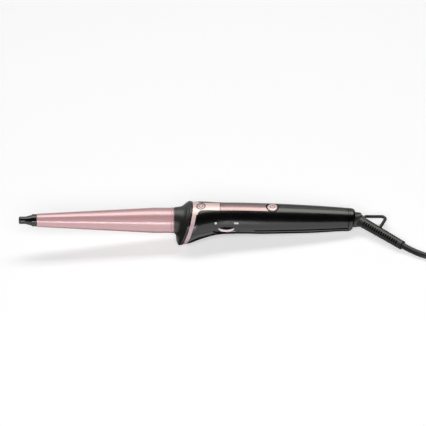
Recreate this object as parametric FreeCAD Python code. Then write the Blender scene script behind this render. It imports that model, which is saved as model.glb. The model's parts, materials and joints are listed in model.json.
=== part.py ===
import FreeCAD, Part
import math
import os

# Curling wand, in millimetres. Every piece is first modelled in the wand's own directions: X runs along the
# barrel from the cool tip to the rear, Y is sideways and Z points to the side with the button. place() then
# tips the wand until the guard's foot and the rear of the handle both stand on Z = 0.

V = FreeCAD.Vector
UP = V(0, 0, 1)
ALONG = V(1, 0, 0)

# Stations along the wand
NOSE_END = 6.4
CONE_END = 12.9
BARREL_START = 17.8
TAPER_END = 133.7
COLLAR_START = 151.0
COLLAR_END = 153.2
BARREL_HIDDEN_END = 158.0
PLATE_START = 24.0
CHAMBER_START = 25.5
STRIP_START = 199.3
TONGUE_END = 198.8
BUTTON_X = 250.7
WHEEL_X = 205.2
CAP_SEAM_X = 325.6
BALL_X = 335.6
ORIGIN_X = 180.8

# Radii and thicknesses
NOSE_R = 3.7
CONE_R = 5.4
COLLAR_TIP_R = 6.1
BARREL_TIP_R = 6.55
BARREL_R = 12.5
BARREL_WALL = 1.0
HIDDEN_R = 12.3
COLLAR_R = 12.8
GUARD_BORE_R = 12.4
HOLDER_R = 11.4
WALL = 2.2
INLAY_DEPTH = 0.9
STRIP_HALF = 5.5
TONGUE_FILLET = 4.5

# Button and wheel
BUTTON_R = 4.95
BEZEL_R = 6.3
STRIP_CUT_R = 6.5
BUTTON_TOP_Z = 17.75
BUTTON_DOME_R = 20.0
BUTTON_BASE_Z = 13.0
WHEEL_R = 12.0
WHEEL_Y = -3.3
WHEEL_LOW = -2.1
WHEEL_TOP = 0.7
WHEEL_TRIM_R = 10.9
WHEEL_TEETH = 40
SPINDLE_R = 2.0
RUNNING_GAP = 0.05
SPLIT_Z = -0.7

# Shell screws: station along the wand and the height of the seat under the head
SCREW_SEATS = ((187.0, -9.5), (267.5, -7.5))

# Rear axis, swivel and tilt
AXIS_Z = 0.9
NECK_R = 7.5
RIM_X = 334.4
BALL_R = 6.3
SOCKET_GAP = 0.08
LUG_HALF = 3.2
STEM_R = 4.0
PIN_R = 1.5
LOOP_R = 1.55
LOOP_BENDS = (2.2, 3.6)
RELIEF_TILT = 42.0
RELIEF_START = 2.0
RELIEF_END = 56.5
RELIEF_ROOT_R = 5.2
RELIEF_TIP_R = 4.45
RELIEF_SLOTS = 16
SLOTS_FROM = 9.8
SLOT_PITCH = 2.7
SLOT_WIDTH = 1.45
SLOT_FLOOR_R = 3.3
RAIL_WIDTH = 2.2
RAIL_ANGLES = (-4.0, 98.0)

# Resting on the table: how far the table is below the barrel's axis at the guard's foot and at the rear
FOOT_X = 157.45
FOOT_DROP = 25.2
HEEL_X = 323.5
HEEL_DROP = 10.6
TILT = math.degrees(math.atan2(FOOT_DROP - HEEL_DROP, HEEL_X - FOOT_X))

# Cord: route from the relief to the coil and from the coil to the plug, in the placed frame
CORD_R = 3.0
CORD_ROUTE = [
    (196.11, -37.66, 5.45), (208.6, -48.0, 3.6), (225.0, -56.2, 3.0),
    (245.0, -61.1, 3.0), (266.0, -63.1, 3.0), (285.0, -63.5, 3.0),
]
LEAD_ROUTE = [
    (254.9, -33.6, 15.0), (261.2, -41.9, 16.2), (270.5, -46.8, 18.4), (281.0, -47.2, 20.8), (290.7, -43.2, 22.7),
    (297.8, -35.5, 24.0), (300.9, -25.5, 24.7), (301.0, -14.0, 24.85), (301.0, -2.0, 24.85),
]
COIL_CENTRE = (285.0, -19.5)
COIL_INNER_R = 21.0
COIL_OUTER_R = 47.0
COIL_TOP_INNER_R = 30.5
COIL_TOP_OUTER_R = 45.5
COIL_SHOULDER = 13.5
COIL_HEIGHT = 18.0
TIE_WIDTH = 11.0
TIE_THICK = 0.8
PLUG_X = 301.0
PLUG_REAR_Y = -3.0
PLUG_HALF_HEIGHT = 6.85
PLUG_Z = COIL_HEIGHT + PLUG_HALF_HEIGHT
PLUG_LENGTH = 33.5
PIN_LENGTH = 19.0
PIN_SPACING = 18.6
PLUG_PIN_R = 2.0

# Slant of the planes of the guard's rim, the ring and the handle's front edge
RIM_SLANT = 0.297

# Round sections that may lean: (centre x, lean, centre z, radius). The top of a section lies its lean further
# back than its centre, and the bottom as much further forward.
GUARD_SECTIONS = [
    (153.7, 0.0, 0.0, 12.9), (157.5, 2.5, -0.8, 14.35), (160.1, 4.85, -2.0, 17.3),
    (161.7, 5.95, -3.1, 20.1), (163.2, RIM_SLANT * 21.8, -3.6, 21.8), (163.8, RIM_SLANT * 22.1, -3.6, 22.1),
    (164.4, RIM_SLANT * 21.9, -3.6, 21.9),
]
RING_START = (166.0, RIM_SLANT * 21.6, -3.5, 21.6)
RING_END = (170.1, RIM_SLANT * 20.9, -3.0, 20.9)
HANDLE_SECTIONS = [
    (170.1, RIM_SLANT * 20.85, -3.0, 20.85), (176.2, 5.15, -1.87, 20.2), (181.9, 3.6, -0.26, 18.8), (188.8, 2.3, 1.1, 17.4),
    (195.0, 1.3, 2.06, 16.3), (202.8, 0.5, 2.58, 15.75), (214.8, 0.0, 2.78, 15.5), (232.0, 0.0, 2.5, 15.35),
    (250.0, 0.0, 2.15, 15.1), (274.0, 0.0, 1.8, 14.35), (298.0, 0.5, 1.4, 13.25), (CAP_SEAM_X, 2.1, AXIS_Z, 11.5),
]
CAP_SECTIONS = [
    (CAP_SEAM_X + 0.3, 2.1, AXIS_Z, 11.45), (328.3, 2.0, AXIS_Z, 11.2), (329.8, 1.95, AXIS_Z, 10.5),
    (330.6, 1.9, AXIS_Z, 9.6), (330.9, 1.9, AXIS_Z, 8.9),
]


def section_wire(section, grow=0.0):
    """Ellipse whose outline, seen along the wand, is a circle. Growing it keeps its plane."""
    centre_x, lean, centre_z, base_radius = section
    radius = base_radius + grow
    lean = lean * radius / base_radius
    steep = V(lean, 0, radius)
    long_axis = V(lean, 0, radius).normalize()
    side = V(0, 1, 0)
    normal = long_axis.cross(side)
    ellipse = Part.Ellipse(V(0, 0, 0), steep.Length, radius).toShape()
    wire = Part.Wire([ellipse])
    wire.Placement = FreeCAD.Placement(FreeCAD.Matrix(
        long_axis.x, side.x, normal.x, centre_x,
        long_axis.y, side.y, normal.y, 0,
        long_axis.z, side.z, normal.z, centre_z,
        0, 0, 0, 1))
    return wire


def loft(sections, grow=0.0):
    return Part.makeLoft([section_wire(section, grow) for section in sections], True, False)


def rod(start_x, end_x, radius, y=0.0, z=0.0):
    return Part.makeCylinder(radius, end_x - start_x, V(start_x, y, z), ALONG)


def post(low_z, high_z, radius, x, y=0.0):
    return Part.makeCylinder(radius, high_z - low_z, V(x, y, low_z), UP)


def block(low, high):
    size = V(*high) - V(*low)
    return Part.makeBox(size.x, size.y, size.z, V(*low))


def turned(profile, centre_z=0.0):
    """Solid of revolution about the wand's axis from (x, radius) points."""
    points = [V(x, 0, radius) for x, radius in profile]
    face = Part.Face(Part.makePolygon(points + [points[0]]))
    solid = face.revolve(V(0, 0, 0), ALONG, 360)
    solid.translate(V(0, 0, centre_z))
    return solid


def joined(shapes):
    result = shapes[0]
    for shape in shapes[1:]:
        result = result.fuse(shape)
    return result.removeSplitter()


def group(shapes):
    return Part.makeCompound(shapes)


def placed(shape):
    """Tip a shape from the wand's directions into the frame that stands on the table."""
    moved = shape.copy()
    moved.translate(V(-ORIGIN_X, 0, 0))
    moved.rotate(V(0, 0, 0), V(0, 1, 0), TILT)
    moved.translate(V(0, 0, TABLE_SHIFT))
    return moved


def placed_point(x, y, z):
    lean = math.radians(TILT)
    along = x - ORIGIN_X
    return V(along * math.cos(lean) + z * math.sin(lean), y,
             TABLE_SHIFT - along * math.sin(lean) + z * math.cos(lean))


def table_shift():
    lean = math.radians(TILT)
    return (FOOT_X - ORIGIN_X) * math.sin(lean) + FOOT_DROP * math.cos(lean)


TABLE_SHIFT = table_shift()


def standing(shape):
    """Flatten what would reach below the table."""
    return shape.cut(Part.makeBox(600, 200, 20, V(-300, -100, -20)))


# ---------------------------------------------------------------- barrel and heater

def cool_tip():
    body = turned([
        (0, 0), (0, 3.1), (0.6, NOSE_R), (NOSE_END, NOSE_R), (CONE_END, CONE_R), (CONE_END, COLLAR_TIP_R - 0.2),
        (CONE_END + 0.2, COLLAR_TIP_R), (BARREL_START - 0.3, COLLAR_TIP_R), (BARREL_START, COLLAR_TIP_R - 0.3),
        (BARREL_START, 5.2), (PLATE_START, 5.2), (PLATE_START, 0),
    ])
    return body.cut(rod(10, PLATE_START, 1.5))


def tip_screw():
    return rod(10, CHAMBER_START, 1.5).fuse(rod(CHAMBER_START, CHAMBER_START + 2, 2.9)).removeSplitter()


def chamber():
    """Hollow inside of the barrel behind its front plate."""
    inner = BARREL_R - BARREL_WALL
    return turned([
        (CHAMBER_START, 0), (CHAMBER_START, 5.9), (TAPER_END, inner), (BARREL_HIDDEN_END, inner),
        (BARREL_HIDDEN_END, 0),
    ])


def barrel():
    skin = turned([
        (BARREL_START, 0), (BARREL_START, BARREL_TIP_R - 0.3), (BARREL_START + 0.3, BARREL_TIP_R),
        (TAPER_END, BARREL_R), (COLLAR_START, BARREL_R), (COLLAR_START, HIDDEN_R), (BARREL_HIDDEN_END, HIDDEN_R),
        (BARREL_HIDDEN_END, 0),
    ])
    return skin.cut(group([
        rod(BARREL_START, PLATE_START, 5.2), rod(PLATE_START, CHAMBER_START, 1.5), chamber(), holder_screw_rods(),
    ]))


def barrel_collar():
    return turned([
        (COLLAR_START, HIDDEN_R), (COLLAR_START, COLLAR_R - 0.4), (COLLAR_START + 0.4, COLLAR_R),
        (COLLAR_END - 0.4, COLLAR_R), (COLLAR_END, COLLAR_R - 0.4), (COLLAR_END, HIDDEN_R),
    ])


def heater_clamps():
    inner = BARREL_R - BARREL_WALL
    slope = (inner - 5.9) / (TAPER_END - CHAMBER_START)
    start, end = 60.0, 138.0
    cone = turned([
        (start, 0), (start, 5.7 + slope * (start - CHAMBER_START)), (TAPER_END, inner - 0.2), (end, inner - 0.2),
        (end, 0),
    ])
    halves = cone.cut(block((start, -20, -2.6), (end, 20, 2.6)))
    return halves.cut(rod(118, end, 1.3, 0, 6.0))


def ptc_elements():
    return group([block((x, -4.2, -1.0), (x + 23, 4.2, 1.0)) for x in (64, 89, 114)])


def electrode_plates():
    return group([block((62, -4.5, z), (146, 4.5, z + 0.5)) for z in (-1.5, 1.0)])


def insulation_film():
    return block((61, -5.2, -2.4), (142, 5.2, 2.4)).cut(block((61, -4.7, -1.7), (142, 4.7, 1.7)))


def thermistor():
    return rod(119, 141, 1.2, 0, 6.0)


def holder_screw_rods():
    """Two radial screws behind the collar, one each side of the barrel."""
    rods = []
    for direction in (1, -1):
        rods.append(Part.makeCylinder(1.3, 4.2, V(155.7, 8.0 * direction, 0), V(0, direction, 0)))
    return group(rods)


def barrel_holder():
    sleeve = turned([
        (143, 7.5), (143, HOLDER_R), (177.2, HOLDER_R), (177.2, 15.3), (179.8, 15.3), (179.8, 7.5),
    ])
    return sleeve.cut(holder_screw_rods())


# ---------------------------------------------------------------- guard, ring and tongue

def heat_guard():
    """Flared guard, recessed behind its rim."""
    recess = loft([(x, RIM_SLANT * 17.5, -3.6, 17.5) for x in (162.6, 165.0)])
    return loft(GUARD_SECTIONS).cut(rod(150, 172, GUARD_BORE_R)).cut(recess)


def guard_ring():
    groove = [(x, RIM_SLANT * 21.0, -3.6, 21.0) for x in (164.45, 165.05)]
    rim = [(x, RIM_SLANT * radius, -3.6, radius) for x, radius in ((165.05, 21.7), (165.5, 21.95), (165.95, 21.7))]
    body = loft(groove).fuse(loft(rim)).removeSplitter()
    return body.cut(loft([groove[0], rim[2]], -6.5)).cut(rod(150, 190, HOLDER_R + 0.6))


def tongue_outline(grow=0.0):
    """Flat outline of the tongue, seen from above, with its two fillets at the ring."""
    half = STRIP_HALF + grow
    fillet = TONGUE_FILLET - grow
    root_x = 177.0 + grow
    start = V(168, half + fillet, 0)
    edges = []
    turn = math.sqrt(0.5)
    for side in (1, -1):
        tangent_ring = V(root_x, side * (half + fillet), 0)
        middle = V(root_x + fillet * (1 - turn), side * (half + fillet * (1 - turn)), 0)
        tangent_edge = V(root_x + fillet, side * half, 0)
        edges += [Part.LineSegment(V(168, side * start.y, 0), tangent_ring).toShape(),
                  Part.Arc(tangent_ring, middle, tangent_edge).toShape(),
                  Part.LineSegment(tangent_edge, V(TONGUE_END, side * half, 0)).toShape()]
    edges.append(Part.LineSegment(V(TONGUE_END, half, 0), V(TONGUE_END, -half, 0)).toShape())
    edges.append(Part.LineSegment(V(168, start.y, 0), V(168, -start.y, 0)).toShape())
    return Part.Face(Part.Wire(Part.__sortEdges__(edges))).extrude(V(0, 0, 30))


def strip_outline(grow=0.0):
    """Flat outline of the long strip, which stops round the button."""
    body = block((STRIP_START - grow, -STRIP_HALF - grow, 0), (BUTTON_X, STRIP_HALF + grow, 30))
    return body.cut(post(0, 30, STRIP_CUT_R - grow, BUTTON_X))


def skin_layer(above, below):
    """Layer of the handle's surface, from above it to below it."""
    return loft(HANDLE_SECTIONS, above).cut(loft(HANDLE_SECTIONS, -below))


def trim_ring():
    bore = rod(150, 190, HOLDER_R + 3.0)
    ring = loft([RING_START, RING_END]).cut(bore)
    tongue = skin_layer(0.25, INLAY_DEPTH).common(tongue_outline())
    return ring.fuse(tongue).cut(emblem_post()).removeSplitter()


def emblem_post(shrink=0.0):
    return post(16.2, 24, 4.6 - shrink, 180.2)


def emblem_disc():
    base = skin_layer(0.1, INLAY_DEPTH - 0.1).common(emblem_post(0.05))
    ring = skin_layer(0.45, 0.3).common(emblem_post(0.05)).cut(post(16, 24, 3.95, 180.2))
    dot = skin_layer(0.35, 0.3).common(post(16.2, 24, 1.5, 180.2))
    return joined([base, ring, dot])


def top_strip():
    return skin_layer(0.2, INLAY_DEPTH).common(strip_outline())


# ---------------------------------------------------------------- handle shells

def wheel_scoop(grow=0.0):
    """Lens-shaped hollow in the side of the handle, round the wheel."""
    ball = Part.makeSphere(1.0)
    stretch = FreeCAD.Matrix()
    stretch.scale(14.0 + grow, 3.1 + grow, 4.8 + grow)
    scoop = ball.transformGeometry(stretch)
    scoop.translate(V(WHEEL_X, -15.7, -0.5))
    return scoop


def wheel_slot():
    return post(WHEEL_LOW - 0.6, WHEEL_TOP + 1.1, WHEEL_R + 0.5, WHEEL_X, WHEEL_Y)


def shell_body():
    inner = loft(HANDLE_SECTIONS, -WALL)
    body = loft(HANDLE_SECTIONS).cut(inner)
    ribs = []
    for start, end, hole, centre_z in (
            (175.6, 177.0, 12.0, 0.0), (180.0, 181.4, 12.0, 0.0),
            (301.0, 303.0, 8.55, AXIS_Z), (317.0, 319.0, 8.55, AXIS_Z)):
        slab = inner.common(block((start, -30, -30), (end, 30, 30)))
        ribs.append(slab.cut(rod(start - 1, end + 1, hole, 0, centre_z)))
    ribs.append(inner.common(wheel_scoop(2.1)))
    for x, _ in SCREW_SEATS:
        ribs.append(inner.common(post(-30, 30, 3.2, x)))
    body = joined([body] + ribs)
    body = body.cut(group([wheel_scoop(), wheel_slot()]))
    return body.cut(shell_screws())


def split_side(upper):
    if upper:
        return block((150, -40, SPLIT_Z), (340, 40, 40))
    return block((150, -40, -40), (340, 40, SPLIT_Z - 0.06))


def parting_groove():
    """Fine V-shaped line where the two shells meet."""
    return skin_layer(0.2, 0.3).common(block((150, -40, SPLIT_Z - 0.2), (340, 40, SPLIT_Z + 0.14)))


def upper_shell(body):
    shell = body.common(split_side(True))
    pockets = [
        skin_layer(1.0, INLAY_DEPTH + 0.05).common(tongue_outline(0.1)),
        skin_layer(1.0, INLAY_DEPTH + 0.05).common(strip_outline(0.1)),
        post(10, 24, BEZEL_R, BUTTON_X),
        scale_marks(),
        parting_groove(),
    ]
    for pocket in pockets:
        shell = shell.cut(pocket)
    return shell


def lower_shell(body):
    return body.common(split_side(False)).cut(parting_groove())


def scale_marks():
    """Plain dot and dash inlaid beside the wheel."""
    angle = math.radians(21)
    outward = V(0, -math.cos(angle), math.sin(angle))
    layer = skin_layer(0.04, 0.35)
    dot = Part.makeCylinder(1.25, 8, V(194.8, 0, 3.0) + outward * 11, outward)
    dash = block((212.8, -19, 7.5), (217.1, -10, 9.1))
    return group([layer.common(dot), layer.common(dash)])


def screw_rods(x, seat_z, top_z):
    return [post(seat_z, top_z, 1.2, x), post(seat_z - 2.0, seat_z, 2.5, x), post(-32, seat_z - 2.0, 2.9, x)]


def shell_screws():
    """Screws up through the lower shell, with the counterbores below their heads."""
    rods = []
    for x, seat_z in SCREW_SEATS:
        rods += screw_rods(x, seat_z, 5.0)
    return group(rods)


def shell_screw_pieces():
    screws = []
    for x, seat_z in SCREW_SEATS:
        shank, head, _ = screw_rods(x, seat_z, 5.0)
        screws.append(joined([shank, head]).cut(block((x - 2, -0.3, seat_z - 2.1), (x + 2, 0.3, seat_z - 1.2))))
    return group(screws)


# ---------------------------------------------------------------- button and electronics

def button_bezel():
    collar = skin_layer(0.05, 2.6).common(post(11, 24, BEZEL_R, BUTTON_X))
    chamfered = collar.cut(post(11, 24, BUTTON_R + 0.15, BUTTON_X))
    return chamfered.cut(skin_layer(0.5, 0.45).common(post(11, 24, BEZEL_R - 0.45, BUTTON_X)))


def power_button():
    """Domed cap with a rounded rim, on a short stem above the switch."""
    dome = Part.makeSphere(BUTTON_DOME_R, V(BUTTON_X, 0, BUTTON_TOP_Z - BUTTON_DOME_R))
    cap = dome.common(post(BUTTON_BASE_Z, 24, BUTTON_R, BUTTON_X))
    rim = [edge for edge in cap.Edges if edge.BoundBox.ZMin > BUTTON_BASE_Z + 2.0 and edge.BoundBox.ZLength < 0.01]
    rounded = cap.makeFillet(0.5, rim)
    stem = post(BUTTON_BASE_Z - 0.6, BUTTON_BASE_Z + 0.5, 1.8, BUTTON_X)
    return joined([rounded, stem])


def button_spring():
    ring = Part.makeCone(2.6, 1.6, 0.9, V(BUTTON_X, 0, 11.45), UP)
    return ring.cut(Part.makeCone(2.2, 1.2, 0.9, V(BUTTON_X, 0, 11.45), UP))


def tact_switch():
    body = block((BUTTON_X - 3, -3, 8.2), (BUTTON_X + 3, 3, 11.4))
    return body.fuse(post(11.4, 11.45, 1.7, BUTTON_X)).removeSplitter()


def circuit_board():
    board = block((192, -8.5, 6.6), (262, 8.5, 8.2))
    return board.cut(group([post(6, 9, 1.1, 196, 6.0), post(6, 9, 1.1, 258, 6.0)]))


def board_parts():
    capacitor = rod(222, 234, 3.0, 3.5, 3.5)
    triac = block((238, -6, 3.4), (248, 1, 6.55))
    chip = block((226, -4, 8.25), (234, 2, 9.7))
    relay = block((208, 1, 8.25), (220, 7, 10.6))
    return group([capacitor, triac, chip, relay])


def potentiometer():
    return post(2.2, 6.55, 5.5, WHEEL_X, WHEEL_Y).cut(post(2.2, 5.4, SPINDLE_R + RUNNING_GAP, WHEEL_X, WHEEL_Y))


def wheel_shaft():
    return post(WHEEL_LOW, 5.3, SPINDLE_R, WHEEL_X, WHEEL_Y)


def wheel_notches():
    """Notches round the rim of the wheel."""
    cutters = []
    for index in range(WHEEL_TEETH):
        angle = 2 * math.pi * index / WHEEL_TEETH
        cutters.append(post(WHEEL_LOW - 1, WHEEL_TOP + 1, 0.42,
                            WHEEL_X + (WHEEL_R + 0.12) * math.cos(angle),
                            WHEEL_Y + (WHEEL_R + 0.12) * math.sin(angle)))
    return group(cutters)


def temperature_wheel():
    disc = post(WHEEL_LOW + 0.3, WHEEL_TOP - 0.5, WHEEL_TRIM_R, WHEEL_X, WHEEL_Y)
    teeth = []
    for index in range(WHEEL_TEETH):
        tooth = block((6.5, -0.45, WHEEL_TOP - 0.5), (WHEEL_R - 0.45, 0.45, WHEEL_TOP))
        tooth.rotate(V(0, 0, 0), UP, 360.0 * (index + 0.5) / WHEEL_TEETH)
        tooth.translate(V(WHEEL_X, WHEEL_Y, 0))
        teeth.append(tooth)
    return disc.fuse(teeth).removeSplitter().cut(wheel_shaft())


def wheel_trim():
    band = post(WHEEL_LOW, WHEEL_TOP - 0.5, WHEEL_R, WHEEL_X, WHEEL_Y)
    return band.cut(group([post(WHEEL_LOW, WHEEL_TOP, WHEEL_TRIM_R, WHEEL_X, WHEEL_Y), wheel_notches()]))


def thermal_fuse():
    return rod(210, 221, 1.8, 6.0, -6.0)


def bent_wire(points, radius):
    """Lead with small round bends, from straight runs and tangent arcs."""
    return tube(points, radius, False)


def heater_leads():
    leads = []
    for side in (1, -1):
        leads.append(bent_wire([
            (147, side * 2.5, 0), (166, side * 3.0, 0.5), (184, side * 5.6, 1.6), (193, side * 7.2, 4.4)], 0.8))
    return group(leads)


def supply_leads():
    leads = []
    for side in (1, -1):
        leads.append(bent_wire([
            (259.5, side * 6.6, 5.5), (268, side * 7.6, 4.2), (281, side * 7.6, 2.4), (286, side * 7.0, 1.5)], 0.8))
    return group(leads)


# ---------------------------------------------------------------- rear end, swivel and relief

def end_cap():
    body = loft(CAP_SECTIONS)
    body = body.fuse(rod(320.5, 327, 8.95, 0, AXIS_Z)).removeSplitter()
    return body.cut(rod(319, 336, NECK_R + 0.08, 0, AXIS_Z))


def swivel_bush():
    return rod(300.8, 319.2, 8.5, 0, AXIS_Z).cut(rod(300, 320, STEM_R + RUNNING_GAP, 0, AXIS_Z))


def slip_rings():
    tubes = []
    for start in (287.0, 292.0):
        tubes.append(rod(start, start + 3, 5.0, 0, AXIS_Z).cut(rod(start, start + 3, STEM_R, 0, AXIS_Z)))
    return group(tubes)


def brush_contacts():
    arms = []
    for side, start in ((1, 287.6), (-1, 292.6)):
        low, high = sorted((side * 5.35, side * 5.85))
        arms.append(block((start, low, -1.5), (start + 1.8, high, 4.0)))
    return group(arms)


def swivel_yoke():
    """Hollow stem with a round socket for the relief's ball and two lugs that hold the pin."""
    stem = rod(285, 322.5, STEM_R, 0, AXIS_Z)
    flange = rod(297.6, 300.4, 6.0, 0, AXIS_Z)
    neck = turned([(321.5, 0), (321.5, 6.9), (322.2, NECK_R), (RIM_X, NECK_R), (RIM_X, 0)], AXIS_Z)
    tab = block((RIM_X - 0.5, -LUG_HALF, -12), (BALL_X, LUG_HALF, 12))
    tab = tab.fuse(Part.makeCylinder(LUG_HALF, 24, V(BALL_X, 0, -12), UP))
    lugs = rod(RIM_X - 0.5, BALL_X + LUG_HALF, NECK_R, 0, AXIS_Z).common(tab)
    socket = Part.makeSphere(BALL_R + SOCKET_GAP, V(BALL_X, 0, AXIS_Z))
    return placed(joined([stem, flange, neck, lugs]).cut(socket)).cut(pin_rod(PIN_R, 10.0))


def ball_centre():
    return placed_point(BALL_X, 0, AXIS_Z)


def pin_rod(radius, reach):
    """Upright rod through the ball, reaching as far above as below."""
    return Part.makeCylinder(radius, 2 * reach, ball_centre() - V(0, 0, reach), UP)


def tilt_pin():
    return pin_rod(PIN_R, 7.1)


def relief_direction():
    lean, aside = math.radians(TILT), math.radians(RELIEF_TILT)
    return V(math.cos(lean) * math.cos(aside), -math.cos(lean) * math.sin(aside), -math.sin(lean))


def relief_slots(centre, direction):
    """Slots around the relief, each broken by the same four lengthwise rails."""
    cutters = []
    for index in range(RELIEF_SLOTS):
        middle = centre + direction * (SLOTS_FROM + SLOT_PITCH * index)
        cutter = Part.makeCylinder(9, SLOT_WIDTH, middle, direction)
        cutter = cutter.cut(Part.makeCylinder(SLOT_FLOOR_R, SLOT_WIDTH, middle, direction))
        for angle in RAIL_ANGLES:
            cutter = cutter.cut(relief_rail(middle, direction, angle))
        cutters.append(cutter)
    return cutters


def relief_rail(middle, direction, angle):
    """Bar across the relief, turned about its axis by an angle from the upright."""
    level = V(direction.y, -direction.x, 0).normalize()
    steep = direction.cross(level)
    turn = math.radians(angle)
    across = steep * math.cos(turn) + level * math.sin(turn)
    bar = Part.makeBox(RAIL_WIDTH, 24, 3, V(-RAIL_WIDTH / 2, -12, -1))
    bar.Placement = FreeCAD.Placement(middle, FreeCAD.Rotation(across.cross(direction), across, direction))\
        .multiply(bar.Placement)
    return bar


def strain_relief():
    """Ball in the neck's socket and the slotted sleeve that leads the cord away from it."""
    centre = ball_centre()
    direction = relief_direction()
    sleeve = Part.makeCone(RELIEF_ROOT_R, RELIEF_TIP_R, RELIEF_END - RELIEF_START,
                           centre + direction * RELIEF_START, direction)
    for cutter in relief_slots(centre, direction):
        sleeve = sleeve.cut(cutter)
    ball = Part.makeSphere(BALL_R, centre)
    return joined([sleeve, ball]).cut(pin_rod(PIN_R + 0.06, 10.0))


def hanging_loop():
    """Wire-like eye whose two ends run into the relief's side."""
    centre = ball_centre()
    lean = math.radians(TILT)
    corners = []
    for along, aside in ((6.4, -1.2), (6.4, 4.7), (29.0, 4.5), (21.4, -12.0)):
        corners.append(centre + V(along * math.cos(lean), aside, -along * math.sin(lean)))
    points = [(p.x, p.y, p.z) for p in corners]
    return tube(points, LOOP_R, False, LOOP_BENDS).cut(strain_relief())


# ---------------------------------------------------------------- cord, coil and plug

def tube(points, radius, report=True, bends=None):
    """Round tube along straight runs joined by tangent arcs, of the radii given or as wide as the runs allow."""
    nodes = [V(*point) for point in points]
    runs = [(after - before).Length for before, after in zip(nodes, nodes[1:])]
    edges, length, start = [], 0.0, nodes[0]
    for index in range(1, len(nodes) - 1):
        incoming = (nodes[index] - nodes[index - 1]).normalize()
        outgoing = (nodes[index + 1] - nodes[index]).normalize()
        turn = incoming.getAngle(outgoing)
        widest = 0.45 * min(runs[index - 1], runs[index]) / math.tan(turn / 2)
        arc_radius = bends[index - 1] if bends else widest
        reach = arc_radius * math.tan(turn / 2)
        enter, leave = nodes[index] - incoming * reach, nodes[index] + outgoing * reach
        inward = (outgoing - incoming).normalize()
        middle = nodes[index] + inward * (arc_radius / math.cos(turn / 2) - arc_radius)
        edges.append(Part.LineSegment(start, enter).toShape())
        edges.append(Part.Arc(enter, middle, leave).toShape())
        length += (enter - start).Length + arc_radius * turn
        start = leave
        if report:
            print("cord bend radius %.0f mm, run %.1f mm" % (arc_radius, runs[index]))
    edges.append(Part.LineSegment(start, nodes[-1]).toShape())
    length += (nodes[-1] - start).Length
    circle = Part.Circle(nodes[0], (nodes[1] - nodes[0]).normalize(), radius)
    solid = Part.Wire(edges).makePipeShell([Part.Wire([circle.toShape()])], True, False)
    if report:
        print("tube length %.1f, volume %.1f, section times length %.1f"
              % (length, solid.Volume, math.pi * radius ** 2 * length))
    return solid


def coil_ring(grow=0.0):
    """Outer shape of the wound coil: three layers of turns, the top one only half as wide."""
    top = COIL_HEIGHT + grow
    profile = [
        (COIL_INNER_R - grow, 0.0), (COIL_OUTER_R + grow, 0.0), (COIL_OUTER_R + grow, COIL_SHOULDER),
        (COIL_TOP_OUTER_R + grow, top), (COIL_TOP_INNER_R - grow, top), (COIL_INNER_R - grow, COIL_SHOULDER),
    ]
    points = [V(COIL_CENTRE[0] + radius, COIL_CENTRE[1], height) for radius, height in profile]
    face = Part.Face(Part.makePolygon(points + [points[0]]))
    return face.revolve(V(COIL_CENTRE[0], COIL_CENTRE[1], 0), UP, 360)


def cord_tie():
    reach = block((COIL_CENTRE[0] - 60, COIL_CENTRE[1] - TIE_WIDTH / 2, -1),
                  (COIL_CENTRE[0], COIL_CENTRE[1] + TIE_WIDTH / 2, 30))
    core = coil_ring().cut(Part.makeBox(200, 200, TIE_THICK, V(200, -120, 0)))
    return coil_ring(TIE_THICK).cut(core).common(reach)


def cord_coil():
    return coil_ring().cut(cord_tie())


def plug_body():
    """Flat two-pin plug: a six-sided body that narrows to a grip where the lead enters."""
    outline = [(8.0, 0), (13.0, 4.0), (17.6, 13.0), (17.6, 22.0), (13.5, PLUG_LENGTH)]
    points = [V(PLUG_X + x, PLUG_REAR_Y + y, COIL_HEIGHT) for x, y in outline]
    points += [V(2 * PLUG_X - point.x, point.y, COIL_HEIGHT) for point in reversed(points)]
    face = Part.Face(Part.makePolygon(points + [points[0]]))
    body = face.extrude(V(0, 0, 2 * PLUG_HALF_HEIGHT))
    nose_y = PLUG_REAR_Y + PLUG_LENGTH - 0.1
    rims = [edge for edge in body.Edges if edge.BoundBox.ZLength < 0.01 and edge.BoundBox.YMin < nose_y]
    return body.makeFillet(2.2, rims)


def plug_pins():
    start_y = PLUG_REAR_Y + PLUG_LENGTH
    pins = []
    for side in (1, -1):
        centre = V(PLUG_X + side * PIN_SPACING / 2, start_y, PLUG_Z)
        pin = Part.makeCylinder(PLUG_PIN_R, PIN_LENGTH, centre, V(0, 1, 0))
        tip = [edge for edge in pin.Edges if edge.BoundBox.YMin > start_y + PIN_LENGTH - 0.1]
        pins.append(pin.makeFillet(1.2, tip))
    return group(pins)


# ---------------------------------------------------------------- writing the parts

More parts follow.
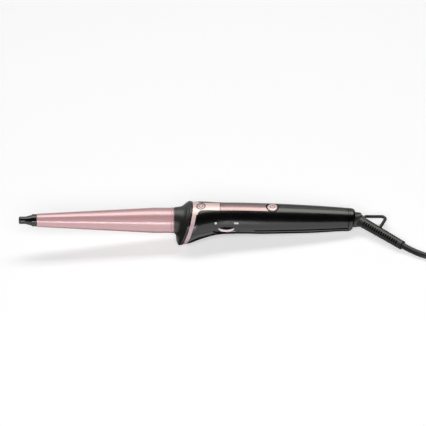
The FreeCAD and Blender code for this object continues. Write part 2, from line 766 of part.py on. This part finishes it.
def all_parts():
    body = shell_body()
    in_wand = {
        "cool_tip": cool_tip(), "tip_screw": tip_screw(), "barrel": barrel(), "barrel_collar": barrel_collar(),
        "heater_clamps": heater_clamps(), "ptc_elements": ptc_elements(),
        "electrode_plates": electrode_plates(), "insulation_film": insulation_film(),
        "thermistor": thermistor(), "barrel_holder": barrel_holder(), "holder_screws": holder_screw_rods(),
        "heat_guard": heat_guard(), "guard_ring": guard_ring(), "trim_ring": trim_ring(),
        "emblem_disc": emblem_disc(), "upper_shell": upper_shell(body), "lower_shell": lower_shell(body),
        "top_strip": top_strip(), "button_bezel": button_bezel(), "power_button": power_button(),
        "button_spring": button_spring(), "tact_switch": tact_switch(), "circuit_board": circuit_board(),
        "board_parts": board_parts(), "potentiometer": potentiometer(), "wheel_shaft": wheel_shaft(),
        "temperature_wheel": temperature_wheel(), "wheel_trim": wheel_trim(), "scale_marks": scale_marks(),
        "thermal_fuse": thermal_fuse(), "heater_leads": heater_leads(), "supply_leads": supply_leads(),
        "shell_screws": shell_screw_pieces(), "end_cap": end_cap(), "swivel_bush": swivel_bush(),
        "slip_rings": slip_rings(), "brush_contacts": brush_contacts(),
    }
    parts = {name: standing(placed(shape)) for name, shape in in_wand.items()}
    parts.update({
        "swivel_yoke": swivel_yoke(), "tilt_pin": tilt_pin(), "strain_relief": strain_relief(),
        "hanging_loop": hanging_loop(), "mains_cord": tube(CORD_ROUTE, CORD_R), "cord_coil": cord_coil(),
        "cord_tie": cord_tie(), "plug_lead": tube(LEAD_ROUTE, CORD_R), "plug_body": plug_body(),
        "plug_pins": plug_pins(),
    })
    return parts


def main():
    os.makedirs("parts", exist_ok=True)
    for name, shape in all_parts().items():
        if not shape.isValid():
            print("not valid:", name)
        print("%-18s solids %2d  volume %9.1f" % (name, len(shape.Solids), shape.Volume))
        shape.exportStep("parts/%s.step" % name)
    end = ball_centre() + relief_direction() * RELIEF_END
    print("tilt %.2f, ball %.2f %.2f %.2f, relief end %.2f %.2f %.2f"
          % (TILT, *ball_centre(), *end))


main()
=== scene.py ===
import json
import math

import bpy
from mathutils import Matrix, Vector


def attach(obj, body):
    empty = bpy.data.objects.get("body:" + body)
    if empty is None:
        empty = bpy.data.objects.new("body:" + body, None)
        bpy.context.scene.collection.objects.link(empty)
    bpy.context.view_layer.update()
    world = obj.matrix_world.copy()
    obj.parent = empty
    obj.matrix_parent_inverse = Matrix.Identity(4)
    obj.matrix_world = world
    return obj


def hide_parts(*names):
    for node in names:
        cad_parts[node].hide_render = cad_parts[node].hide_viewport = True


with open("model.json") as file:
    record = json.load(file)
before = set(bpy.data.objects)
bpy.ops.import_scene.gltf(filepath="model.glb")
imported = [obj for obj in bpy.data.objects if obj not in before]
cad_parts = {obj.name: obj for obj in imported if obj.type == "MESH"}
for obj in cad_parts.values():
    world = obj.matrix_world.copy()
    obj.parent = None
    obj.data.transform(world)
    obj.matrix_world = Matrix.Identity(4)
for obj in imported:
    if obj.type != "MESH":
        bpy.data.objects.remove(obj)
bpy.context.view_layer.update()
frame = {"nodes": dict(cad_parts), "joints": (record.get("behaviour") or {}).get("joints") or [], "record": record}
nodes = frame["nodes"]
joints = {joint["name"]: joint for joint in frame["joints"]}

MM = 0.001
WAND_AXIS = Vector(joints["swivel_spin"]["axis"]).normalized()
WAND_UP = Vector(joints["button_press"]["axis"]).normalized()
BALL = Vector(joints["swivel_spin"]["pos_m"])

# Places and sizes on the wand in millimetres: along it from the tip, and above the barrel's axis
BALL_ALONG = 335.6
BALL_UP = 0.9
SPLIT_UP = -1.15
SEAM_MIDDLE = 279.0
SEAM_HALF = 46.0
SEAM_LINE_HALF = 0.95
CAP_SEAM = 325.6
CAP_LINE_HALF = 0.25
EMBLEM_ALONG = 180.2
# Radius and half the width of each ring
EMBLEM_RINGS = [(4.1, 0.5), (2.0, 0.3)]
STRIP_JOINT = 199.0
STRIP_LINE_HALF = 0.3
# Heights at which the trim is at its pinkest, in painted shade, and at its creamiest, in painted light
RING_SHADE_UP = 8.0
RING_LIT_UP = 15.0
BUTTON_ALONG = 250.7
SIGN_RADIUS = 2.3
SIGN_STROKE = 0.4
SIGN_GAP_HALF = 0.8
SIGN_BAR_MIDDLE = 1.5
SIGN_BAR_HALF = 1.4
# On the relief, from the ball: the stretch with slots, and the radius below which painted shade blackens a slot
SLOTS_MIDDLE = 31.0
SLOTS_HALF = 22.0
SLOT_SHADE_RADIUS = 4.3

# Camera
ELEVATION = math.radians(40.0)
AZIMUTH = math.radians(4.0)
CAMERA_DISTANCE = 3.0
VIEW_WIDTH = 0.4217
SENSOR_WIDTH = 36.0
CAMERA_REACH = 50.0
BALL_TO_MIDDLE = 143.5 * MM
AXIS_BELOW_MIDDLE = 6.5 * MM

# Floor and surroundings
FLOOR_HALF_SIDE = 6.0
FLOOR_COLOUR = (0.62, 0.62, 0.62)
FLOOR_GLOW = 0.43
SURROUNDINGS_COLOUR = (0.98, 0.99, 1.0)
SURROUNDINGS_STRENGTH = 0.02

# Most of a noise's values lie between these
NOISE_LOW = 0.3
NOISE_HIGH = 0.7

# Colours that more than one material uses
LACQUER_ROSE = (0.51, 0.29, 0.305)
TRIM_ROSE = (0.72, 0.53, 0.50)
GROOVE_COLOUR = (0.0005, 0.0005, 0.0005)
# A Mix node's sockets by its data type: first and second input, result
MIX_SOCKETS = {"RGBA": (6, 7, 2), "FLOAT": (2, 3, 0)}

# Cord
CORD_DIAMETER = 6.0 * MM
CORD_ROUTE = [
    (0.19611, -0.03766, 0.00545), (0.2086, -0.048, 0.0036), (0.225, -0.0562, 0.003),
    (0.245, -0.0611, 0.003), (0.266, -0.0631, 0.003),
]
LEAD_ROUTE = [
    (0.2549, -0.0336, 0.0150), (0.2612, -0.0419, 0.0162), (0.2705, -0.0468, 0.0184),
    (0.2810, -0.0472, 0.0208), (0.2907, -0.0432, 0.0227), (0.2978, -0.0355, 0.0240),
    (0.3009, -0.0255, 0.0247), (0.3010, -0.0140, 0.02485), (0.3010, -0.0020, 0.02485),
]
COIL_CENTRE = Vector((0.285, -0.0195, 0.0))
COIL_START_ANGLE = math.radians(-90)
COIL_POINTS_PER_TURN = 16
CORD_SPLINE_ORDER = 3
CORD_SMOOTHNESS = 6
# Number of turns, radius and height of the cord's middle; between two rows both change evenly
COIL_STAGES = [
    (0.00, 0.0440, 0.0030), (3.00, 0.0260, 0.0030), (3.35, 0.0239, 0.0090), (4.00, 0.0290, 0.0090),
    (6.00, 0.0410, 0.0090), (6.35, 0.0431, 0.0150), (7.75, 0.0339, 0.0150),
]
TIE_LIFT = 0.8 * MM
TIE_REACH = math.radians(30)


# ------------------------------------------------------------------ camera and light

def view_direction():
    """Direction in which the camera looks."""
    return Vector((-math.sin(AZIMUTH) * math.cos(ELEVATION),
                   math.cos(AZIMUTH) * math.cos(ELEVATION),
                   -math.sin(ELEVATION)))


def make_camera():
    """Long lens, rolled so that the wand lies level across the picture."""
    ahead = view_direction()
    right = (WAND_AXIS - ahead * WAND_AXIS.dot(ahead)).normalized()
    above = right.cross(ahead)
    target = BALL - WAND_AXIS * BALL_TO_MIDDLE + above * AXIS_BELOW_MIDDLE
    data = bpy.data.cameras.new("camera")
    data.sensor_width = SENSOR_WIDTH
    data.lens = SENSOR_WIDTH * CAMERA_DISTANCE / VIEW_WIDTH
    data.clip_end = CAMERA_REACH
    camera = bpy.data.objects.new("camera", data)
    bpy.context.scene.collection.objects.link(camera)
    turn = Matrix((right, above, -ahead)).transposed().to_4x4()
    camera.matrix_world = Matrix.Translation(target - ahead * CAMERA_DISTANCE) @ turn
    bpy.context.scene.camera = camera
    return target


def area_light(name, angle, distance, size, radiance, centre, mirrored, diffused, colour=(1, 1, 1)):
    """Soft box aimed at a point; its angle is counted from the camera's side of the table over the top."""
    turn = math.radians(angle)
    data = bpy.data.lights.new(name, "AREA")
    data.shape = "RECTANGLE"
    data.size, data.size_y = size
    data.energy = radiance * math.pi * size[0] * size[1]
    data.color = colour
    light = bpy.data.objects.new(name, data)
    light.visible_glossy = mirrored
    light.visible_diffuse = diffused
    place = centre + Vector((0, -math.cos(turn) * distance, math.sin(turn) * distance))
    aim = (centre - place).to_track_quat("-Z", "Y")
    light.matrix_world = Matrix.Translation(place) @ aim.to_matrix().to_4x4()
    bpy.context.scene.collection.objects.link(light)


def make_lights(target):
    """Soft boxes that make the highlights, and two others that light the table and the lacquer."""
    highlight = {"mirrored": True, "diffused": False}
    glow = {"mirrored": False, "diffused": True}
    edge_shift = Vector((-0.03, 0, 0))
    barrel_shift = Vector((-0.185, 0, 0))
    area_light("overhead_box", angle=111, distance=1.6, size=(3.0, 1.0), radiance=3.6, centre=target,
               colour=(1.0, 1.0, 0.92), **highlight)
    area_light("back_panel", angle=146, distance=2.0, size=(3.0, 0.9), radiance=0.9, centre=target,
               **highlight)
    area_light("low_front", angle=-36, distance=1.2, size=(3.0, 2.7), radiance=1.15, centre=target,
               **highlight)
    area_light("front_edge", angle=2, distance=1.2, size=(0.24, 0.28), radiance=1.6,
               centre=target + edge_shift, **highlight)
    area_light("low_back", angle=200, distance=1.2, size=(3.0, 1.5), radiance=0.6, centre=target,
               **highlight)
    area_light("barrel_strip", angle=15, distance=0.8, size=(0.43, 0.07), radiance=14.0,
               centre=target + barrel_shift, **highlight)
    area_light("key", angle=112, distance=1.8, size=(2.2, 0.55), radiance=5.0, centre=target,
               **glow)
    area_light("fill", angle=40, distance=2.4, size=(1.6, 1.2), radiance=7.5, centre=target,
               **glow)


def make_world():
    """Faint white surroundings, shown without a film curve."""
    world = bpy.data.worlds.new("studio")
    bpy.context.scene.world = world
    world.use_nodes = True
    background = world.node_tree.nodes["Background"]
    background.inputs["Color"].default_value = (*SURROUNDINGS_COLOUR, 1)
    background.inputs["Strength"].default_value = SURROUNDINGS_STRENGTH
    bpy.context.scene.view_settings.view_transform = "Standard"


def make_floor():
    """White table that glows a little, as a light table does, so that shadows on it stay pale."""
    half = FLOOR_HALF_SIDE
    corners = [(-half, -half, 0), (half, -half, 0), (half, half, 0), (-half, half, 0)]
    mesh = bpy.data.meshes.new("floor")
    mesh.from_pydata(corners, [], [(0, 1, 2, 3)])
    floor = bpy.data.objects.new("floor", mesh)
    bpy.context.scene.collection.objects.link(floor)
    material = bpy.data.materials.new("floor_white")
    material.use_nodes = True
    shader = material.node_tree.nodes["Principled BSDF"]
    shader.inputs["Base Color"].default_value = (*FLOOR_COLOUR, 1)
    shader.inputs["Roughness"].default_value = 0.9
    shader.inputs["Specular IOR Level"].default_value = 0.0
    shader.inputs["Emission Color"].default_value = (1, 1, 1, 1)
    shader.inputs["Emission Strength"].default_value = FLOOR_GLOW
    mesh.materials.append(material)
    floor.visible_glossy = False


# ------------------------------------------------------------------ materials

def new_material(name, colour, roughness, metallic=0.0, **sockets):
    """Principled material; sockets are set by their names with underscores for spaces."""
    material = bpy.data.materials.new(name)
    material.use_nodes = True
    shader = material.node_tree.nodes["Principled BSDF"]
    shader.inputs["Base Color"].default_value = (*colour, 1)
    shader.inputs["Roughness"].default_value = roughness
    shader.inputs["Metallic"].default_value = metallic
    for key, value in sockets.items():
        shader.inputs[key.replace("_", " ")].default_value = value
    return material


def noise(material, scale, detail=3.0, stretch=(1, 1, 1)):
    """Noise in the object's own metres, stretched along an axis where asked."""
    tree = material.node_tree
    place = tree.nodes.new("ShaderNodeTexCoord")
    mapping = tree.nodes.new("ShaderNodeMapping")
    mapping.inputs["Scale"].default_value = stretch
    pattern = tree.nodes.new("ShaderNodeTexNoise")
    pattern.inputs["Scale"].default_value = scale
    pattern.inputs["Detail"].default_value = detail
    tree.links.new(place.outputs["Object"], mapping.inputs["Vector"])
    tree.links.new(mapping.outputs["Vector"], pattern.inputs["Vector"])
    return pattern.outputs["Fac"]


def spread(material, value, low, high):
    """Noise spread between two numbers."""
    tree = material.node_tree
    node = tree.nodes.new("ShaderNodeMapRange")
    node.inputs["From Min"].default_value = NOISE_LOW
    node.inputs["From Max"].default_value = NOISE_HIGH
    node.inputs["To Min"].default_value = low
    node.inputs["To Max"].default_value = high
    tree.links.new(value, node.inputs["Value"])
    return node.outputs["Result"]


def link_roughness(material, value, low, high):
    shader = material.node_tree.nodes["Principled BSDF"]
    material.node_tree.links.new(spread(material, value, low, high), shader.inputs["Roughness"])


def link_colour(material, value, low, first, high, second):
    """Colour that changes evenly from the first at a low value to the second at a high one."""
    tree = material.node_tree
    share = tree.nodes.new("ShaderNodeMapRange")
    share.inputs["From Min"].default_value = low
    share.inputs["From Max"].default_value = high
    mix = tree.nodes.new("ShaderNodeMix")
    mix.data_type = "RGBA"
    first_socket, second_socket, result = MIX_SOCKETS["RGBA"]
    mix.inputs[first_socket].default_value = (*first, 1)
    mix.inputs[second_socket].default_value = (*second, 1)
    tree.links.new(value, share.inputs["Value"])
    tree.links.new(share.outputs["Result"], mix.inputs["Factor"])
    tree.links.new(mix.outputs[result], tree.nodes["Principled BSDF"].inputs["Base Color"])


def link_bump(material, height, distance, strength):
    tree = material.node_tree
    bump = tree.nodes.new("ShaderNodeBump")
    bump.inputs["Strength"].default_value = strength
    bump.inputs["Distance"].default_value = distance
    tree.links.new(height, bump.inputs["Height"])
    tree.links.new(bump.outputs["Normal"], tree.nodes["Principled BSDF"].inputs["Normal"])


def wand_place(along, up):
    """Point given in millimetres from the tip along the wand and above the barrel's axis."""
    return BALL + WAND_AXIS * (along - BALL_ALONG) * MM + WAND_UP * (up - BALL_UP) * MM


def distance_along(material, axis, place):
    """Signed distance of the shaded point from a place, along an axis."""
    tree = material.node_tree
    coordinates = tree.nodes.new("ShaderNodeTexCoord")
    product = tree.nodes.new("ShaderNodeVectorMath")
    product.operation = "DOT_PRODUCT"
    product.inputs[1].default_value = axis
    tree.links.new(coordinates.outputs["Object"], product.inputs[0])
    return arithmetic(material, "SUBTRACT", product.outputs["Value"], axis.dot(place))


def arithmetic(material, operation, *values):
    """Math node on sockets and plain numbers."""
    tree = material.node_tree
    node = tree.nodes.new("ShaderNodeMath")
    node.operation = operation
    for socket, value in zip(node.inputs, values):
        if isinstance(value, (int, float)):
            socket.default_value = value
        else:
            tree.links.new(value, socket)
    return node.outputs[0]


def within(material, value, middle, half):
    """1 where the value lies within half of the middle, else 0."""
    return arithmetic(material, "COMPARE", value, middle, half)


def paint(material, mask, colour, roughness, metallic=None):
    """Another colour and roughness where the mask is 1, and another share of metal if one is given."""
    tree = material.node_tree
    shader = tree.nodes["Principled BSDF"]
    changes = [("Base Color", "RGBA", (*colour, 1)), ("Roughness", "FLOAT", roughness)]
    if metallic is not None:
        changes.append(("Metallic", "FLOAT", metallic))
    for name, kind, value in changes:
        mix = tree.nodes.new("ShaderNodeMix")
        mix.data_type = kind
        first, second, result = MIX_SOCKETS[kind]
        socket = shader.inputs[name]
        if socket.is_linked:
            tree.links.new(socket.links[0].from_socket, mix.inputs[first])
        else:
            mix.inputs[first].default_value = socket.default_value
        mix.inputs[second].default_value = value
        tree.links.new(mask, mix.inputs["Factor"])
        tree.links.new(mix.outputs[result], socket)


def groove(material, mask):
    """Black line, as dark as a deep groove: a black rough metal reflects nothing. It draws dark joints, and
    painted shade at the bottom of slots.
    """
    paint(material, mask, GROOVE_COLOUR, roughness=1.0, metallic=1.0)


def ring_mask(material, along, radius, half):
    """Ring about a line that crosses the wand's axis, and the distances from that line along and aside."""
    place = wand_place(along, 0)
    x = distance_along(material, WAND_AXIS, place)
    y = distance_along(material, Vector((0, 1, 0)), place)
    squares = [arithmetic(material, "MULTIPLY", value, value) for value in (x, y)]
    distance = arithmetic(material, "SQRT", arithmetic(material, "ADD", *squares))
    return within(material, distance, radius * MM, half * MM), x, y


def satin_black():
    """Fine satin moulded plastic of the handle, cap and tip, with a dark parting line along the shells."""
    material = new_material("satin_black", (0.0012, 0.0012, 0.0013), roughness=0.22, IOR=1.62)
    link_roughness(material, noise(material, 60), low=0.20, high=0.24)
    link_bump(material, noise(material, 3500, detail=2), distance=0.00002, strength=0.4)
    height = distance_along(material, WAND_UP, wand_place(0, SPLIT_UP))
    along = distance_along(material, WAND_AXIS, wand_place(0, 0))
    seam = arithmetic(material, "MULTIPLY", within(material, height, 0.0, SEAM_LINE_HALF * MM),
                      within(material, along, SEAM_MIDDLE * MM, SEAM_HALF * MM))
    cap_seam = within(material, along, CAP_SEAM * MM, CAP_LINE_HALF * MM)
    groove(material, arithmetic(material, "MAXIMUM", seam, cap_seam))
    return material


def guard_black():
    """Matt heat-proof plastic of the guard, also used for the wheel."""
    material = new_material("guard_black", (0.007, 0.007, 0.0066), roughness=0.40, IOR=1.6)
    link_roughness(material, noise(material, 80), low=0.38, high=0.43)
    link_bump(material, noise(material, 3000, detail=2), distance=0.00002, strength=0.5)
    return material


def gloss_black():
    """Polished black of the ring between the guard and the trim."""
    material = new_material("gloss_black", (0.0015, 0.0015, 0.0015), roughness=0.12, Coat_Weight=0.4,
                            Coat_Roughness=0.05)
    link_roughness(material, noise(material, 120), low=0.10, high=0.16)
    return material


def groove_black():
    """Dull black of the groove about the button."""
    material = new_material("groove_black", (0.001, 0.001, 0.001), roughness=0.5, Specular_IOR_Level=0.15)
    link_roughness(material, noise(material, 120), low=0.45, high=0.55)
    return material


def flex_black(name="flex_black", shade=0.012):
    """Soft matt elastomer of the swivel, the hanging loop and the cord's tie."""
    material = new_material(name, (shade, shade, 0.96 * shade), roughness=0.38)
    link_roughness(material, noise(material, 150), low=0.34, high=0.42)
    link_bump(material, noise(material, 2500, detail=3), distance=0.00003, strength=0.5)
    return material


def relief_black():
    """The relief's elastomer, with painted shade blackening the bottom of its slots."""
    material = flex_black("relief_black", 0.022)
    end = Vector(CORD_ROUTE[0])
    along = (end - BALL).normalized()
    offsets = [distance_along(material, axis, BALL) for axis in Matrix.Identity(3)]
    squares = [arithmetic(material, "MULTIPLY", value, value) for value in offsets]
    total = arithmetic(material, "ADD", arithmetic(material, "ADD", *squares[:2]), squares[2])
    forward = distance_along(material, along, BALL)
    forward_square = arithmetic(material, "MULTIPLY", forward, forward)
    distance = arithmetic(material, "SQRT", arithmetic(material, "SUBTRACT", total, forward_square))
    # Painted shade: the slots are painted black deep down, where shade falls in them
    in_slot_shade = arithmetic(material, "LESS_THAN", distance, SLOT_SHADE_RADIUS * MM)
    slotted = within(material, forward, SLOTS_MIDDLE * MM, SLOTS_HALF * MM)
    groove(material, arithmetic(material, "MULTIPLY", in_slot_shade, slotted))
    return material


def cord_black():
    """Matt jacket of the mains cord."""
    material = new_material("cord_black", (0.006, 0.006, 0.0062), roughness=0.42)
    link_roughness(material, noise(material, 200), low=0.38, high=0.48)
    link_bump(material, noise(material, 1800, detail=3), distance=0.00004, strength=0.5)
    return material


def rose_barrel():
    """Satin rose lacquer of the barrel."""
    material = new_material("rose_barrel", LACQUER_ROSE, roughness=0.27, metallic=0.12, IOR=2.0)
    link_roughness(material, noise(material, 25, detail=1), low=0.252, high=0.268)
    link_bump(material, noise(material, 5000, detail=1), distance=0.000008, strength=0.3)
    return material


def rose_bead():
    """Lacquer of the collar at the barrel's base, a little glossier than the barrel's."""
    material = new_material("rose_bead", LACQUER_ROSE, roughness=0.25, metallic=0.15, IOR=2.0)
    link_roughness(material, noise(material, 90), low=0.22, high=0.26)
    return material


def rose_plate():
    """Rose lacquer of the trim, painted creamier and lighter on top and pinker and darker below as painted light
    and shade, with a dark line where the inlay begins.
    """
    material = new_material("rose_plate", TRIM_ROSE, roughness=0.3, metallic=0.1, IOR=1.9)
    height = distance_along(material, WAND_UP, wand_place(0, 0))
    # Painted light and shade: darker pink low on the trim, lighter cream on top
    shaded_pink = (0.47, 0.31, 0.345)
    lit_cream = (0.76, 0.565, 0.53)
    link_colour(material, height, RING_SHADE_UP * MM, shaded_pink, RING_LIT_UP * MM, lit_cream)
    link_roughness(material, noise(material, 70), low=0.29, high=0.34)
    from_joint = distance_along(material, WAND_AXIS, wand_place(STRIP_JOINT, 0))
    joint = within(material, from_joint, 0.0, STRIP_LINE_HALF * MM)
    paint(material, joint, (0.10, 0.05, 0.045), roughness=0.6)
    return material


def emblem_rose():
    """Plain disc set in the trim, with two engraved rings."""
    material = new_material("emblem_rose", TRIM_ROSE, roughness=0.3, metallic=0.1, IOR=1.9)
    link_roughness(material, noise(material, 110), low=0.29, high=0.34)
    for radius, half in EMBLEM_RINGS:
        ring, _, _ = ring_mask(material, EMBLEM_ALONG, radius, half)
        paint(material, ring, (0.04, 0.02, 0.02), roughness=0.7, metallic=0.5)
    return material


def wheel_rose():
    """Bright rose band of the wheel."""
    material = new_material("wheel_rose", (0.80, 0.66, 0.66), roughness=0.25, metallic=0.1, IOR=2.0)
    link_roughness(material, noise(material, 120), low=0.22, high=0.265)
    return material


def rose_satin():
    """Dark rose metal film of the long inlay, brushed along its length."""
    material = new_material("rose_satin", (0.31, 0.218, 0.222), roughness=0.26, metallic=0.9)
    link_roughness(material, noise(material, 300, detail=1, stretch=(0.1, 1, 1)), low=0.25, high=0.27)
    return material


def button_rose():
    """Rose cap of the button with an engraved on-off sign: an open ring and a bar."""
    material = new_material("button_rose", (0.74, 0.55, 0.54), roughness=0.25, metallic=0.12, IOR=1.9)
    link_roughness(material, noise(material, 90), low=0.22, high=0.265)
    ring, x, y = ring_mask(material, BUTTON_ALONG, SIGN_RADIUS, SIGN_STROKE)
    gap = arithmetic(material, "MULTIPLY", within(material, x, 0.0, SIGN_GAP_HALF * MM),
                     arithmetic(material, "GREATER_THAN", y, 0.0))
    open_ring = arithmetic(material, "MULTIPLY", ring, arithmetic(material, "SUBTRACT", 1.0, gap))
    bar = arithmetic(material, "MULTIPLY", within(material, x, 0.0, SIGN_STROKE * MM),
                     within(material, y, SIGN_BAR_MIDDLE * MM, SIGN_BAR_HALF * MM))
    sign = arithmetic(material, "MAXIMUM", open_ring, bar)
    paint(material, sign, (0.12, 0.06, 0.06), roughness=0.6)
    return material


def plain_material(name, colour, roughness, metallic=0.0, grain=400):
    """Inner parts, pins and marks: a plain colour with a little grain in its roughness."""
    material = new_material(name, colour, roughness, metallic)
    link_roughness(material, noise(material, grain), roughness * 0.85, min(1.0, roughness * 1.15))
    return material


SLOT_MATERIALS = {
    "rose_barrel": rose_barrel(),
    "rose_bead": rose_bead(),
    "rose_trim": rose_plate(),
    "rose_strip": rose_satin(),
    "black_satin": satin_black(),
    "black_guard": guard_black(),
    "black_gloss": gloss_black(),
    "black_wheel": guard_black(),
    "black_flex": flex_black(),
    "cord_jacket": cord_black(),
    "tie_strap": flex_black(),
    "white_mark": plain_material("white_mark", (0.55, 0.57, 0.54), 0.4),
    "steel": plain_material("steel", (0.56, 0.57, 0.58), 0.3, 1.0),
    "aluminium": plain_material("aluminium", (0.80, 0.81, 0.82), 0.35, 1.0),
    "brass": plain_material("brass", (0.80, 0.58, 0.26), 0.3, 1.0),
    "nickel": plain_material("nickel", (0.78, 0.76, 0.72), 0.16, 1.0),
    "board": plain_material("board", (0.02, 0.14, 0.06), 0.4),
    "component": plain_material("component", (0.03, 0.03, 0.035), 0.45),
    "ceramic": plain_material("ceramic", (0.55, 0.53, 0.49), 0.6),
    "film": plain_material("film", (0.55, 0.24, 0.04), 0.2),
    "phenolic": plain_material("phenolic", (0.10, 0.07, 0.05), 0.5),
    "silicone": plain_material("silicone", (0.62, 0.62, 0.58), 0.5),
    "lead_sleeve": plain_material("lead_sleeve", (0.45, 0.05, 0.03), 0.5),
}

# Nodes that look different from the rest of their slot
NODE_MATERIALS = {
    "power_button": button_rose(),
    "emblem_disc": emblem_rose(),
    "wheel_trim": wheel_rose(),
    "button_bezel": groove_black(),
    "strain_relief": relief_black(),
    "swivel_yoke": flex_black("neck_black"),
    "tilt_pin": flex_black("pin_black"),
}


def dress_nodes():
    """Give each CAD node its material, by its name or else by its slot."""
    slots = {part["node"]: part["material_slot"] for part in frame["record"]["subparts"]}
    for name, node in nodes.items():
        node.data.materials.clear()
        node.data.materials.append(NODE_MATERIALS.get(name) or SLOT_MATERIALS[slots[name]])


# ------------------------------------------------------------------ cord

def coil_place(turn):
    """Radius and height of the cord's middle at a number of turns from the coil's start."""
    for (start, radius, height), (end, next_radius, next_height) in zip(COIL_STAGES, COIL_STAGES[1:]):
        if turn <= end:
            share = (turn - start) / (end - start)
            return radius + (next_radius - radius) * share, height + (next_height - height) * share


def coil_points():
    """Three turns inwards on the table, three outwards on top of them and nearly two inwards above those."""
    points = []
    for index in range(int(COIL_STAGES[-1][0] * COIL_POINTS_PER_TURN) + 1):
        turn = index / COIL_POINTS_PER_TURN
        angle = COIL_START_ANGLE + 2 * math.pi * turn
        radius, height = coil_place(turn)
        from_tie = abs((angle % (2 * math.pi)) - math.pi)
        if from_tie < TIE_REACH:
            height += TIE_LIFT * (0.5 + 0.5 * math.cos(math.pi * from_tie / TIE_REACH))
        x = COIL_CENTRE.x + radius * math.cos(angle)
        y = COIL_CENTRE.y + radius * math.sin(angle)
        points.append((x, y, height))
    return points


def make_cord():
    """One smooth cord from the relief through the coil to the plug."""
    route = CORD_ROUTE + coil_points() + LEAD_ROUTE
    data = bpy.data.curves.new("power_cord", "CURVE")
    data.dimensions = "3D"
    data.resolution_u = CORD_SMOOTHNESS
    data.bevel_depth = CORD_DIAMETER / 2
    data.bevel_resolution = CORD_SMOOTHNESS
    data.use_fill_caps = True
    spline = data.splines.new("NURBS")
    spline.points.add(len(route) - 1)
    for point, place in zip(spline.points, route):
        point.co = (*place, 1)
    spline.order_u = CORD_SPLINE_ORDER
    spline.use_endpoint_u = True
    cord = bpy.data.objects.new("power_cord", data)
    bpy.context.scene.collection.objects.link(cord)
    data.materials.append(SLOT_MATERIALS["cord_jacket"])
    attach(cord, "cord")
    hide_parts("mains_cord", "cord_coil", "plug_lead")


make_world()
view_target = make_camera()
make_lights(view_target)
make_floor()
make_cord()
dress_nodes()
